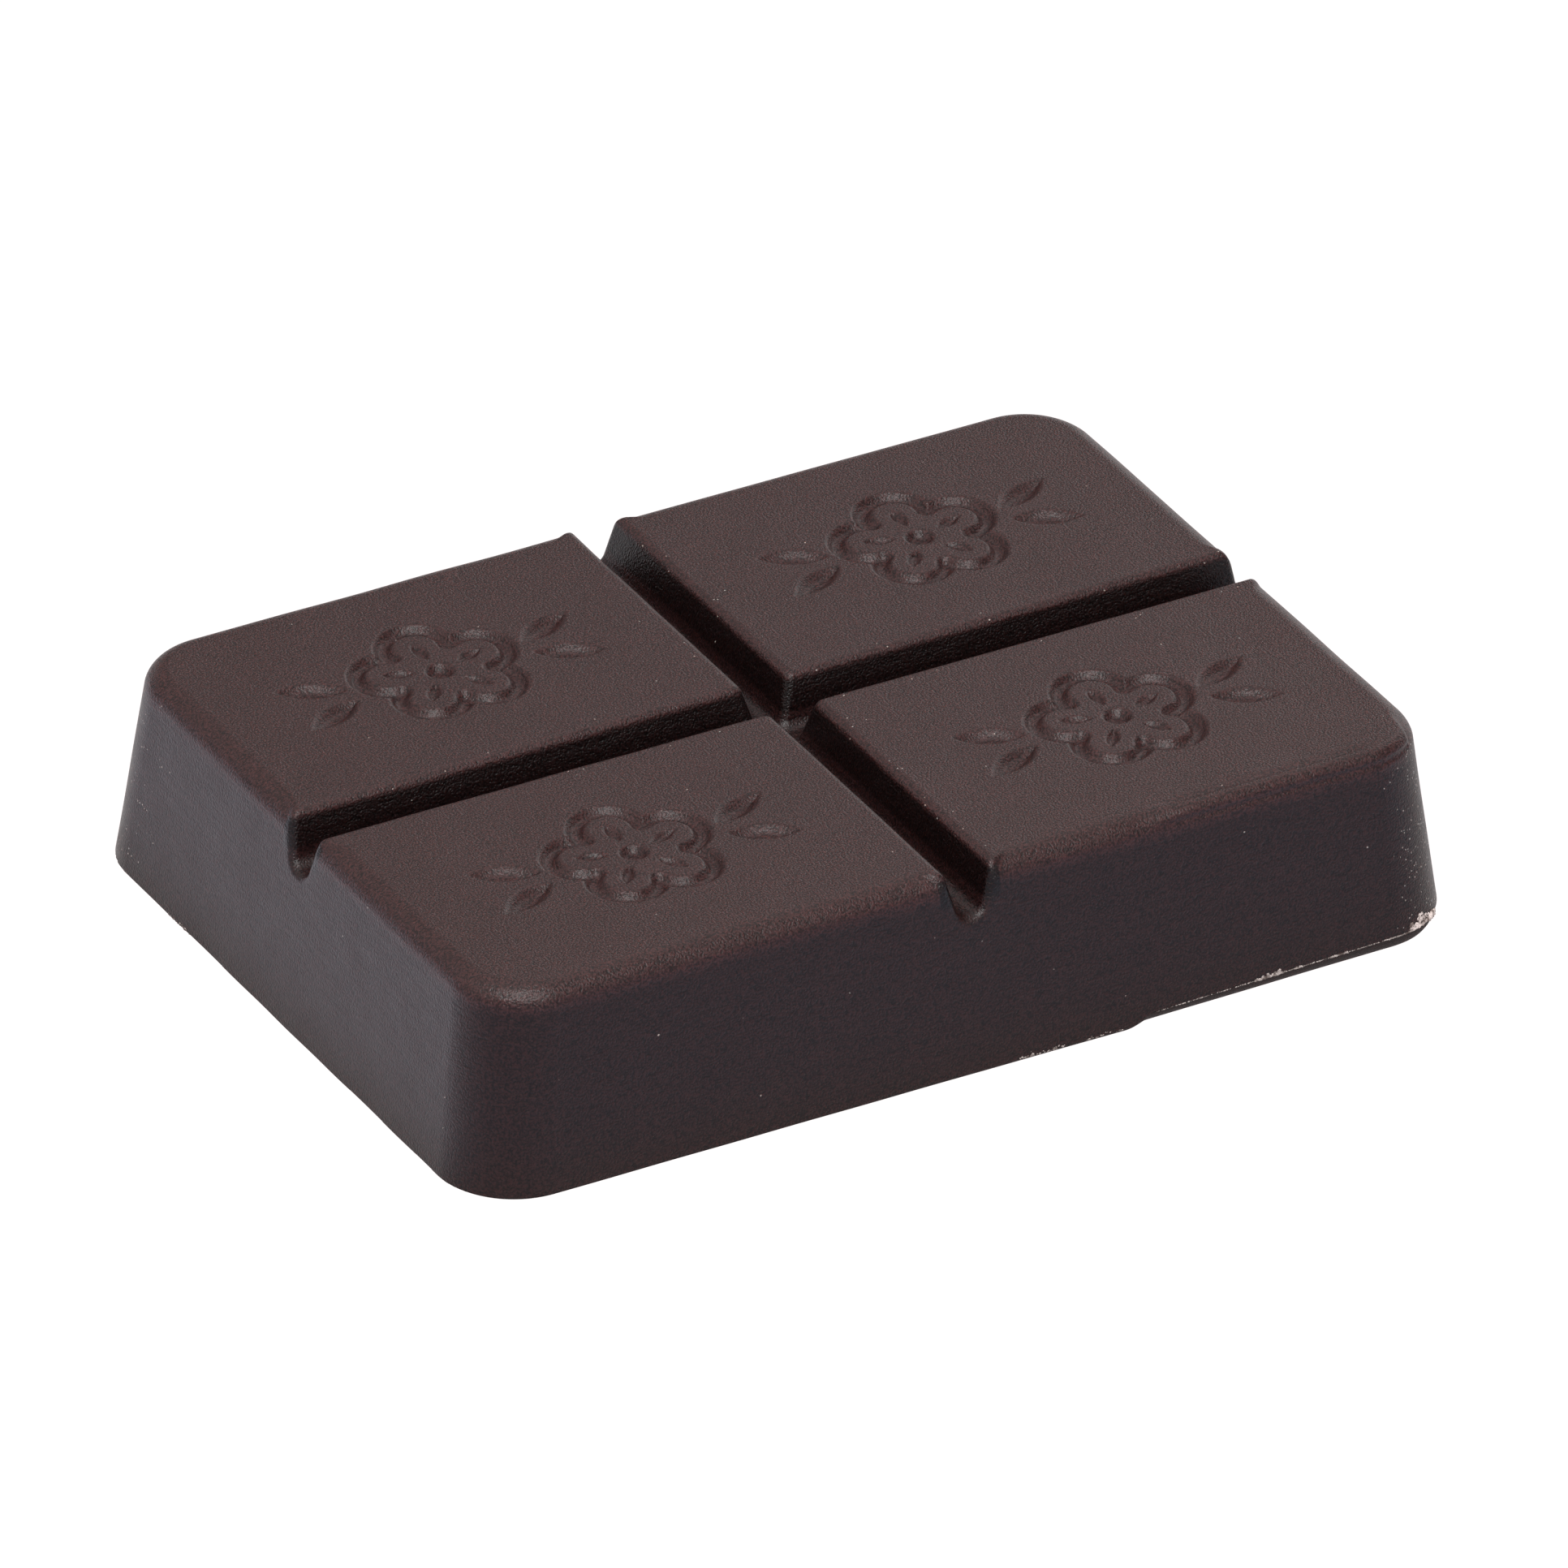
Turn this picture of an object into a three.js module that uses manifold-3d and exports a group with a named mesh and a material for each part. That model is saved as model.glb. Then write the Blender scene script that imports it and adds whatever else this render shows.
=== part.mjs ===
// A small moulded bar of plain dark chocolate: one piece, two by two segments.
//
// Millimetres, +Z up. The origin is the middle of the underside. X runs along the long side.
// The bar was cast face down, so its faces slope with the mould's draft, its top edges are
// rounded, and its poured underside stands a little proud of the mould's rim.

import * as THREE from 'three';
import { mergeVertices } from 'three/addons/utils/BufferGeometryUtils.js';
import Module from 'manifold-3d';

// Outer form
const LENGTH = 50;
const WIDTH = 36.4;
const HEIGHT = 10.2;
const RIM_HEIGHT = 0.5; // the mould's rim, above the surface that the bar lies on
const DRAFT = THREE.MathUtils.degToRad(7);
const RIM_CORNER_RADIUS = 3.8;
const TOP_CORNER_RADIUS = 3.4;

// Poured underside: how far its flat lies inside the rim, at either end of the bar
const UNDERSIDE_INSET_LEFT = 1.8;
const UNDERSIDE_INSET_RIGHT = 0.1;

// Toward the right end the casting ran short: from SHORT_START on, the rim is higher and the
// underside is drawn in farther, both growing up to that end
const SHORT_START = 8.2;
const SHORT_RIM = { start: 0.85, end: 1.2 };
const SHORT_INSET = { start: 0.8, end: 1.0 };

// Rounded top edges: their width, and their drop below the top face
const OUTER_EDGE = { width: 0.84, drop: 0.83 };
const LIP_EDGE = { width: 0.23, drop: 0.22 };

// Grooves
const LONG_GROOVE_WIDTH = 2.45;
const CROSS_GROOVE_WIDTH = 2.35;
const GROOVE_DEPTH = 2.35;
const GROOVE_SLOPE = THREE.MathUtils.degToRad(16);
const FLOOR_RADIUS = 0.45;
const FLOOR_FLAT = 0.1; // half of the flat strip left along a groove's floor
const MOUTH_RADIUS = 0.4;
const CROSSING_RADIUS = 0.4;

// Engraved blossom
const STROKE_WIDTH = 0.8;
const STROKE_DEPTH = 0.36;
const TIP_WIDTH = 0.55; // the tool's nearly flat tip, as a share of its width
const TIP_DEPTH = 0.84; // where that tip turns up, as a share of its depth
const PETALS = 5;
const PETAL_RADIUS = 1.45;
const PETAL_DISTANCE = 2.3;
const VEIN_START = 1.15;
const VEIN_END = 2.6;
const VEIN_WIDTH = 0.6;
const HEART_SCALE = 1.4;
const LEAF_LENGTH = 3.3;
const LEAF_WIDTH = 1.3;
const LEAF_DISTANCE = 5.85;
const LEAF_RISE = 1.15;
const LEAF_TILT = THREE.MathUtils.degToRad(24);

// Fineness of the facets
const CORNER_DIVISIONS = 3;
const FLOOR_STEPS = 3;
const LIP_MIDDLE = 0.3; // the middle facet line of a groove's lip, as a share of its drop
const PETAL_STEPS = 9;
const SPINDLE_STEPS = 6;
const SPINDLE_SIDES = 8;
const ROUND_SIDES = 10;

// How far every cutter reaches clear of the surface that it cuts
const CUTTER_RISE = 0.4;

const wasm = await Module();
wasm.setup();

function toSolid(geometry) {
  const bare = geometry.clone();
  bare.deleteAttribute('normal');
  bare.deleteAttribute('uv');
  const merged = mergeVertices(bare);
  return new wasm.Manifold(
    new wasm.Mesh({
      numProp: 3,
      vertProperties: new Float32Array(merged.attributes.position.array),
      triVerts: new Uint32Array(merged.index.array),
    }),
  );
}

function toGeometry(solid) {
  const mesh = solid.getMesh();
  const geometry = new THREE.BufferGeometry();
  geometry.setAttribute('position', new THREE.BufferAttribute(mesh.vertProperties, 3));
  geometry.setIndex(new THREE.BufferAttribute(mesh.triVerts, 1));
  geometry.computeVertexNormals();
  return geometry;
}

function unite(geometries) {
  return geometries.map(toSolid).reduce((whole, solid) => whole.add(solid));
}

// A rectangle with its own radius at each corner, anticlockwise, as points at height z.
// The radii are in the order: left front, right front, right back, left back.
function roundedRing({ left, right, front, back }, radii, z) {
  const [a, b, c, d] = radii;
  const quarter = Math.PI / 2;
  const shape = new THREE.Shape();
  shape.absarc(left + a, front + a, a, 2 * quarter, 3 * quarter);
  shape.absarc(right - b, front + b, b, 3 * quarter, 4 * quarter);
  shape.absarc(right - c, back - c, c, 0, quarter);
  shape.absarc(left + d, back - d, d, quarter, 2 * quarter);
  return shape.getPoints(CORNER_DIVISIONS).map((p) => new THREE.Vector3(p.x, p.y, z));
}

// A closed body through rings of equally many points, from the lowest ring to the highest.
function loft(rings) {
  const count = rings[0].length;
  const last = (rings.length - 1) * count;
  const indices = [];
  for (let base = 0; base < last; base += count) {
    for (let i = 0; i < count; i += 1) {
      const a = base + i;
      const b = base + ((i + 1) % count);
      indices.push(a, b, b + count, a, b + count, a + count);
    }
  }
  const flat = (ring) => ring.map((p) => new THREE.Vector2(p.x, p.y));
  for (const [a, b, c] of THREE.ShapeUtils.triangulateShape(flat(rings[0]), [])) {
    indices.push(c, b, a);
  }
  for (const [a, b, c] of THREE.ShapeUtils.triangulateShape(flat(rings.at(-1)), [])) {
    indices.push(last + a, last + b, last + c);
  }
  const geometry = new THREE.BufferGeometry().setFromPoints(rings.flat());
  geometry.setIndex(indices);
  return geometry;
}

// How far the outer faces lean in at height z, and the corner radius there.
function faceInset(z) {
  return Math.max(z - RIM_HEIGHT, 0) * Math.tan(DRAFT);
}

function cornerRadius(z) {
  const share = (z - RIM_HEIGHT) / (HEIGHT - RIM_HEIGHT);
  return THREE.MathUtils.lerp(RIM_CORNER_RADIUS, TOP_CORNER_RADIUS, share);
}

function wholeRing(z, inset) {
  const x = LENGTH / 2 - inset;
  const y = WIDTH / 2 - inset;
  const radius = cornerRadius(z) - inset + faceInset(z);
  return roundedRing({ left: -x, right: x, front: -y, back: y }, Array(4).fill(radius), z);
}

// The slab under the grooves, with its poured underside drawn in below the rim.
function slab() {
  const rim = wholeRing(RIM_HEIGHT, 0);
  const farthestIn = wholeRing(RIM_HEIGHT, UNDERSIDE_INSET_LEFT);
  const underside = rim.map((point, i) => {
    const share = 0.5 - point.x / LENGTH;
    const inset = THREE.MathUtils.lerp(UNDERSIDE_INSET_RIGHT, UNDERSIDE_INSET_LEFT, share);
    return point.clone().lerp(farthestIn[i], inset / UNDERSIDE_INSET_LEFT).setZ(0);
  });
  const floor = HEIGHT - GROOVE_DEPTH;
  return loft([underside, rim, wholeRing(floor, faceInset(floor))]);
}

// What the short casting leaves out under the rim, toward the right end.
function shortfall() {
  const outline = (inset) => {
    const sides = {
      left: SHORT_START - RIM_CORNER_RADIUS,
      right: LENGTH / 2 - inset,
      front: inset - WIDTH / 2,
      back: WIDTH / 2 - inset,
    };
    return roundedRing(sides, Array(4).fill(RIM_CORNER_RADIUS), 0);
  };
  const span = LENGTH / 2 - SHORT_START;
  const share = (point) => THREE.MathUtils.clamp((point.x - SHORT_START) / span, 0, 1);
  const rim = outline(0).map((point) => {
    return point.setZ(THREE.MathUtils.lerp(SHORT_RIM.start, SHORT_RIM.end, share(point)));
  });
  const farthestIn = outline(SHORT_INSET.end);
  const foot = outline(SHORT_INSET.start).map((point, i) => {
    return point.lerp(farthestIn[i], share(point));
  });
  const below = foot.map((point) => point.clone().setZ(-2 * CUTTER_RISE));
  const above = outline(-CUTTER_RISE).map((point) => point.setZ(SHORT_RIM.end + 2 * CUTTER_RISE));
  const height = SHORT_RIM.end + 2 * CUTTER_RISE;
  const block = new THREE.BoxGeometry(span + CUTTER_RISE, WIDTH + CUTTER_RISE, height)
    .translate(SHORT_START + (span + CUTTER_RISE) / 2, 0, SHORT_RIM.end / 2);
  return toSolid(block).subtract(toSolid(loft([below, foot, rim, above])));
}

// Half the width of a groove at height z, with a rounded foot above its floor.
function grooveHalf(width, z) {
  const floor = HEIGHT - GROOVE_DEPTH;
  const slope = width / 2 - (HEIGHT - z) * Math.tan(GROOVE_SLOPE);
  const rise = Math.min((z - floor) / FLOOR_RADIUS, 1);
  const foot = 1 - Math.sqrt(1 - (1 - rise) ** 2);
  return THREE.MathUtils.lerp(FLOOR_FLAT, slope, 1 - foot);
}

// The block of one segment, above the slab, for x and y sides of +1 or -1.
function block(sideX, sideY) {
  const floor = HEIGHT - GROOVE_DEPTH;
  const levels = [];
  for (let i = 0; i <= FLOOR_STEPS; i += 1) {
    levels.push(floor + (FLOOR_RADIUS * i) / FLOOR_STEPS);
  }
  levels.push(HEIGHT - OUTER_EDGE.drop, HEIGHT - OUTER_EDGE.drop / 2);
  levels.push(HEIGHT - LIP_EDGE.drop, HEIGHT - LIP_EDGE.drop * LIP_MIDDLE, HEIGHT);
  return loft(levels.map((z) => blockRing(sideX, sideY, z)));
}

// How far a rounded edge draws its face in at height z.
function edgeInset({ width, drop }, z) {
  const rise = THREE.MathUtils.clamp(1 + (z - HEIGHT) / drop, 0, 1);
  return width * (1 - Math.sqrt(1 - rise ** 2));
}

function blockRing(sideX, sideY, z) {
  const outerEdge = edgeInset(OUTER_EDGE, z);
  const lipEdge = edgeInset(LIP_EDGE, z);
  const outX = LENGTH / 2 - faceInset(z) - outerEdge;
  const outY = WIDTH / 2 - faceInset(z) - outerEdge;
  const inX = grooveHalf(CROSS_GROOVE_WIDTH, z) + lipEdge;
  const inY = grooveHalf(LONG_GROOVE_WIDTH, z) + lipEdge;
  const sides = {
    left: sideX > 0 ? inX : -outX,
    right: sideX > 0 ? outX : -inX,
    front: sideY > 0 ? inY : -outY,
    back: sideY > 0 ? outY : -inY,
  };
  const outer = cornerRadius(z) - outerEdge;
  const corners = [[-1, -1], [1, -1], [1, 1], [-1, 1]].map(([x, y]) => {
    const outerSides = (x === sideX) + (y === sideY);
    return [CROSSING_RADIUS, MOUTH_RADIUS, outer][outerSides];
  });
  return roundedRing(sides, corners, z);
}

// Half of the engraving tool's section: from its tip out to its full width, then up.
function toolProfile() {
  const half = STROKE_WIDTH / 2;
  return [
    new THREE.Vector2(0, -STROKE_DEPTH),
    new THREE.Vector2(half * TIP_WIDTH, -STROKE_DEPTH * TIP_DEPTH),
    new THREE.Vector2(half, 0),
    new THREE.Vector2(half, CUTTER_RISE),
  ];
}

// The tool pressed straight in: the round end of a stroke.
function toolPress(x, y, scale = 1) {
  const profile = [...toolProfile(), new THREE.Vector2(0, CUTTER_RISE)];
  return new THREE.LatheGeometry(profile, ROUND_SIDES)
    .rotateX(Math.PI / 2)
    .scale(scale, scale, 1)
    .translate(x, y, 0);
}

// The tool drawn along a flat curve. The section's first axis points down.
function toolStroke(curve) {
  const right = toolProfile().map((p) => new THREE.Vector2(-p.y, p.x));
  const left = right.slice(1).reverse().map((p) => new THREE.Vector2(p.x, -p.y));
  return new THREE.ExtrudeGeometry(new THREE.Shape([...right, ...left]), {
    steps: PETAL_STEPS,
    bevelEnabled: false,
    extrudePath: curve,
  });
}

// The arc of one petal, out to where it meets the arcs of the petals beside it.
class PetalArc extends THREE.Curve {
  constructor(turn) {
    super();
    const halfPitch = Math.PI / PETALS;
    this.turn = turn;
    this.sweep = halfPitch + Math.asin((PETAL_DISTANCE * Math.sin(halfPitch)) / PETAL_RADIUS);
  }

  getPoint(t, target = new THREE.Vector3()) {
    const angle = this.turn + this.sweep * (2 * t - 1);
    return target.set(
      PETAL_DISTANCE * Math.cos(this.turn) + PETAL_RADIUS * Math.cos(angle),
      PETAL_DISTANCE * Math.sin(this.turn) + PETAL_RADIUS * Math.sin(angle),
      0,
    );
  }
}

function petal(index) {
  const turn = Math.PI / 2 + (index * 2 * Math.PI) / PETALS;
  const arc = new PetalArc(turn);
  const notch = arc.getPoint(1);
  return [toolStroke(arc), toolPress(notch.x, notch.y), vein(turn)];
}

// A short narrow cut along the middle of a petal.
function vein(turn) {
  const middle = (VEIN_START + VEIN_END) / 2;
  return spindle(VEIN_END - VEIN_START, VEIN_WIDTH)
    .translate(middle, 0, 0)
    .rotateZ(turn);
}

// A pointed cut of lens shape, along X, widest and deepest at its middle.
function spindle(length, width) {
  const profile = [];
  for (let i = 0; i <= SPINDLE_STEPS; i += 1) {
    const place = (2 * i) / SPINDLE_STEPS - 1;
    profile.push(new THREE.Vector2((width / 2) * (1 - place ** 2), (length / 2) * place));
  }
  return new THREE.LatheGeometry(profile, SPINDLE_SIDES)
    .rotateZ(-Math.PI / 2)
    .scale(1, 1, STROKE_DEPTH / (width / 2));
}

function leaf(sideX, sideY) {
  return spindle(LEAF_LENGTH, LEAF_WIDTH)
    .rotateZ(sideX * sideY * LEAF_TILT)
    .translate(sideX * LEAF_DISTANCE, sideY * LEAF_RISE, 0);
}

// A five-petalled blossom between two pairs of leaves, as cutters on the plane z = 0.
function blossom() {
  const cutters = [toolPress(0, 0, HEART_SCALE)];
  for (let i = 0; i < PETALS; i += 1) {
    cutters.push(...petal(i));
  }
  for (const sideX of [-1, 1]) {
    for (const sideY of [-1, 1]) {
      cutters.push(leaf(sideX, sideY));
    }
  }
  return toGeometry(unite(cutters));
}

function segmentMiddle(side, length, grooveWidth) {
  const outer = length / 2 - faceInset(HEIGHT) - OUTER_EDGE.width;
  const inner = grooveWidth / 2 + LIP_EDGE.width;
  return (side * (outer + inner)) / 2;
}

function bar() {
  const cutter = blossom();
  const blocks = [];
  const cutters = [];
  for (const sideX of [-1, 1]) {
    for (const sideY of [-1, 1]) {
      const x = segmentMiddle(sideX, LENGTH, CROSS_GROOVE_WIDTH);
      const y = segmentMiddle(sideY, WIDTH, LONG_GROOVE_WIDTH);
      blocks.push(block(sideX, sideY));
      cutters.push(cutter.clone().translate(x, y, HEIGHT));
    }
  }
  return unite([slab(), ...blocks]).subtract(unite(cutters)).subtract(shortfall());
}

const chocolate = new THREE.Mesh(
  toGeometry(bar()),
  new THREE.MeshStandardMaterial({ color: 0x3b2822, roughness: 0.45, metalness: 0 }),
);
chocolate.name = 'chocolate_bar';

const part = new THREE.Group();
part.add(chocolate);

export default part;
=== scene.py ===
"""The looks of a small moulded bar of plain dark chocolate, two by two segments.

The bar is worked out as a distance field in millimetres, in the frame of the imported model, and
meshed finely where it curves. The crumbs torn from its rim are a piece of their own.
"""

import math

import bpy
import numpy as np
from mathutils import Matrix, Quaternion, Vector


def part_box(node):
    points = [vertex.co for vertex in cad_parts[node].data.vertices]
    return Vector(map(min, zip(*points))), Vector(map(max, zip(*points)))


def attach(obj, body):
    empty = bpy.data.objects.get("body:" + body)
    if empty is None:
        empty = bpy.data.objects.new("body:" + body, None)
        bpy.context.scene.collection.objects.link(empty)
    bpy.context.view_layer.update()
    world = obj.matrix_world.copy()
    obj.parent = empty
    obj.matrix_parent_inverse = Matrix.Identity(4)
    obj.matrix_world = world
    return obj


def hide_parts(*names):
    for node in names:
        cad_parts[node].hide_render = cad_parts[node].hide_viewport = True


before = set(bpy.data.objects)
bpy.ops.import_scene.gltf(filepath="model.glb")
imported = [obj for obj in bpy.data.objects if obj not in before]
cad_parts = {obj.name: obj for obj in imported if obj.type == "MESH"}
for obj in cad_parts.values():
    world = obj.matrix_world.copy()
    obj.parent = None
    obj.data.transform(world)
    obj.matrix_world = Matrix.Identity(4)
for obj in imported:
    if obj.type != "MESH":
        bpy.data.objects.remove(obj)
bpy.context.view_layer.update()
LOW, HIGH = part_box("chocolate_bar")

# ---------------------------------------------------------------- sizes of the bar, in mm
MM = 0.001
HALF_X = -LOW.x / MM
HALF_Y = -LOW.y / MM
HEIGHT = HIGH.z / MM
RIM = 0.5
DRAFT = math.radians(7)
RIM_CORNER = 3.8
TOP_CORNER = 3.4
UNDERSIDE_INSET = (1.8, 0.1)  # at the left and right ends
UNDERSIDE_CURVE = 2.2
RIM_STEP = 0.06
RIM_STEP_HEIGHT = 0.1
OUTER_EDGE = 0.95
LIP_EDGE = 0.28
OUTER_EDGE_WIDTH = 0.84
LIP_EDGE_WIDTH = 0.23
EDGE_BLEND = 0.4
BASE_EDGE = 0.15

# Toward the right end the casting ran short, under a rim that climbs
SHORT_START = 8.2
SHORT_FADE = 0.7
SHORT_RIM = (0.85, 1.2)
SHORT_INSET = (0.8, 1.0)
SHORT_CURVE = 1.3
SHORT_CORNER = (21.0, 24.5)  # past these the underside comes back out to the corner
SHORT_CORNER_GAIN = 0.5

# The bead along the front top edge, near the right corner
BEAD_START = 8.5
BEAD_FADE = 3.0
BEAD_END = 22.75
BEAD_SHARPNESS = 0.5
BEAD_VALLEY = 0.07
BEAD_INSET = 0.75
BEAD_WIDTH = 0.2
BEAD_VALLEY_END = (21.0, 19.5)
BEAD_CREASE = 0.08
BEAD_CREASE_DROP = 0.62
BEAD_CREASE_WIDTH = 0.13

# The break grooves, along the bar and across it
LONG_GROOVE = 2.45
CROSS_GROOVE = 2.35
GROOVE_DEPTH = 2.35
GROOVE_SLOPE = math.radians(16)
GROOVE_FOOT = 0.4
MOUTH_RADIUS = 0.4
CROSSING_RADIUS = 0.35

# The blossom engraved on each segment
STROKE_DEPTH = 0.34
STROKE_INNER = 0.1
STROKE_OUTER = 0.52
PETALS = 5
PETAL_RADIUS = 1.45
PETAL_DISTANCE = 2.3
VEIN_MIDDLE = 1.875
VEIN_SIZE = (1.6, 0.75)
VEIN_DEPTH = 0.2
HEART_RADIUS = 0.2
LEAF_SIZE = (3.5, 1.5)
LEAF_PLACE = (5.85, 1.15)
LEAF_TILT = math.radians(24)
LENS_BEVEL = 0.8

# The casting's slight unevenness
UNEVENNESS = 0.004
UNEVEN_WAVES = 7
UNEVEN_LENGTHS = (2.5, 9.0)
UNEVEN_SEED = 11

# Tears along the rim: how many crumbs, between which x, how high above the rim, and how large
FRONT_TEARS = (
    (120, (9.0, 14.0), (-0.03, 0.03), (0.03, 0.05)),
    (150, (14.0, 15.5), (-0.05, 0.06), (0.04, 0.1)),
    (35, (14.2, 15.3), (-0.06, 0.16), (0.06, 0.13)),
    (14, (16.0, 16.4), (-0.04, 0.08), (0.05, 0.1)),
    (90, (15.5, 17.8), (-0.03, 0.03), (0.03, 0.055)),
    (80, (17.8, 18.7), (-0.04, 0.05), (0.04, 0.09)),
    (60, (18.7, 20.6), (-0.03, 0.03), (0.03, 0.05)),
    (90, (20.6, 22.1), (-0.04, 0.04), (0.035, 0.075)),
    (260, (22.1, 24.9), (-0.1, 0.42), (0.06, 0.15)),
    (120, (22.8, 24.9), (0.2, 0.9), (0.05, 0.14)),
    (50, (23.9, 24.9), (0.0, 0.4), (0.15, 0.34)),
    (26, (1.8, 4.4), (-0.12, 0.1), (0.05, 0.12)),
    (20, (5.4, 7.2), (-0.1, 0.1), (0.05, 0.12)),
)

# The same for the tears at the two ends, between two y
LEFT_TEAR = (40, (8.4, 10.4), (-0.2, 0.1), (0.04, 0.1))
RIGHT_TEAR = (160, (-15, 15), (-0.08, 0.1), (0.05, 0.11))

# The crumbs: width, thickness and the rest as shares of their size, and how they are scattered
CRUMB_WIDTH = 0.65
CRUMB_THICKNESS = 0.5
CRUMB_SUNK = 0.1
CRUMB_LEAN = 0.5
CRUMB_ROUGHNESS = (0.55, 1.25)
CRUMB_LEAST = 0.6
CRUMB_SETTLING = 60
CRUMB_SEED = 5

# Colours and finish
CHOCOLATE = (0.0172, 0.006, 0.0058)
IOR = 1.45
SHINE = 0.23
SUBSURFACE = 0.3
SUBSURFACE_RADIUS = (1, 0.4, 0.25)
SUBSURFACE_DEPTH = 0.5
ROUGHNESS = (0.2, 0.8, 0.34, 0.4)  # over this range of the mottling
BUMP_HEIGHT = 0.04
SPECK = (0.4, 0.34, 0.31, 1)
TORN_PALE = (0.44, 0.375, 0.35, 1)
TORN_DARK = (0.08, 0.055, 0.046, 1)
# The torn crumbs show this share of their colour left of these x, full colour right of them
OFF_CORNER_TEAR_SHADE = 0.62
PALE_TEARS_X = (21.6, 22.4)
TORN_PATCHES = (0.35, 3.0, 0.6)
TORN_PATCH_EDGE = (0.35, 0.6)
TORN_GRAIN = 0.06
TORN_GRAIN_SHADE = (0.2, 0.8, 0.7, 1.2)
TORN_ROUGHNESS = 0.7
TORN_SHINE = 0.3

# Painted shade, picked to match the photo's brightness: the walls, the grooves and the underside
# show this much of the colour. The grooves are also glossier than the top, and the underside more
# matt
WALL_PAINTED_SHADE = 0.52
WALL_FADE = (9.5, 8.7)
GROOVE_PAINTED_SHADE = 0.2
GROOVE_ROUGHNESS = 0.3
GROOVE_REACH_X = (1.6, 1.45)
GROOVE_REACH_Y = (1.65, 1.5)
GROOVE_MOUTH = (10.05, 9.7)
GROOVE_FLOOR = (8.1, 8.8)
UNDER_PAINTED_SHADE = 0.9
UNDER_ROUGHNESS = 0.8
UNDER_TURN = (0.0, -0.15)  # the height of the surface's normal
UNDER_FADE = (3.0, 2.0)

# Grain, mottling and streaks: the noise's length, detail and roughness
GRAIN = (0.1, 1.0, 0.5)
MOTTLE = (1.6, 3.0, 0.6)
STREAKS = (0.35, 3.0, 0.6)
STREAK_STRETCH = (0.12, 0.12, 1)
STREAK_HEIGHT = 0.8
GRAIN_SHADE = (0.3, 0.7, 0.3, 1.7)
MOTTLE_SHADE = (0.25, 0.75, 0.95, 1.05)

# Specks, and where they lie
SPECKS_PER_MM = 6.0
SPECK_WANDER = (0.1, 0.1, 0.1)
SPECK_EDGE = (0.32, 0.15)
SPECK_STRENGTH = 0.6
SPECK_HEIGHT = 1.5
SPECK_WALL = (9.9, 9.2)
RIGHT_SPECKS_X = (20.5, 23.5)
RIGHT_SPECKS_Y = (-13.0, -16.0)
RIGHT_SPECKS = 0.45
LEFT_SPECKS_X = (-21.0, -24.0)
LEFT_SPECKS_Y = (11.0, 15.0)
LEFT_SHARE = 0.3
LIP_REACH = (2.3, 1.4)
LIP_TOP = (9.7, 10.0)
STRAY_SPECKS = 0.0012
LIP_SPECKS = 0.035

# The glow of the floor: plain by the bar, cool in front of it, bright behind it on the left. All
# are above white, so the camera sees one white floor, and they change only the light on the bar
FLOOR_PLAIN = (1.08, 1.03, 1.03, 1)
FLOOR_FRONT = (1.06, 1.16, 1.4, 1)
FLOOR_BACK_LEFT = (1.76, 1.71, 1.9, 1)
PLAIN_X = (-28.0, -26.0)
PLAIN_Y = (-22.0, -20.0)
BRIGHT_X = (-26.0, -28.0)
BRIGHT_END = (-60.0, -42.0)
BRIGHT_Y = (-16.0, -11.0)

# Camera and lights
AZIMUTH = math.radians(-29.671)
ELEVATION = math.radians(31.089)
ROLL = math.radians(0.622)
AIM = Vector((4.376, 7.060, 0.5)) * MM
CAMERA_DISTANCE = 1.10772
CLIPPING = (0.1, 10)
FOCAL_PIXELS = 30602
IMAGE_SIDE = 1932
SENSOR = 36
FLOOR_REACH = 1500.0
WORLD_GLOW = 0.33
LIGHT_DISTANCE = 0.9
LIGHT_COLOUR = (1, 0.99, 0.985)
LAMPS = {  # azimuth and elevation in degrees, width in metres, power in watts
    "key": (330, 55, 0.48, 9.9),
    "front": (0, 40, 0.9, 5.9),
    "left": (270, 40, 1.35, 5.2),
    "behind": (210, 50, 1.35, 3.2),
    "overhead": (120, 70, 0.9, 3.2),
    "low_right": (120, 18, 0.9, 3.0),
}

# Meshing
CELL = 0.125
MARGIN = 3 * CELL
PROBE = 0.01
FIRST_SETTLING = 3
LAST_SETTLING = 2
LEAST_SLOPE = 0.25
TRIANGLES = 190_000


# ---------------------------------------------------------------- the bar as a distance field
def smoothstep(low, high, value):
    t = np.clip((value - low) / (high - low), 0, 1)
    return t * t * (3 - 2 * t)


def round_max(a, b, radius):
    """The common part of two fields, its convex edge rounded."""
    outside = np.hypot(np.maximum(a + radius, 0), np.maximum(b + radius, 0))
    return np.minimum(-radius, np.maximum(a, b)) + outside


def round_min(a, b, radius):
    """Two fields joined, with a fillet where they meet."""
    inside = np.hypot(np.maximum(radius - a, 0), np.maximum(radius - b, 0))
    return np.maximum(radius, np.minimum(a, b)) - inside


def bump(distance, width):
    """1 at no distance, falling off over this width."""
    return np.exp(-((distance / width) ** 2))


def between(ends, share):
    """The value at this share of the way from one end to the other."""
    return ends[0] + (ends[1] - ends[0]) * share


def face_inset(z):
    return np.maximum(z - RIM, 0) * math.tan(DRAFT)


def short_part(x):
    """How far the casting has run short at x, and the share of the way to the right end."""
    fade = smoothstep(SHORT_START - SHORT_FADE, SHORT_START + SHORT_FADE, x)
    return fade, np.clip((x - SHORT_START) / (HALF_X - SHORT_START), 0, 1)


def rim_height(x):
    fade, share = short_part(x)
    return between((RIM, between(SHORT_RIM, share)), fade)


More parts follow.
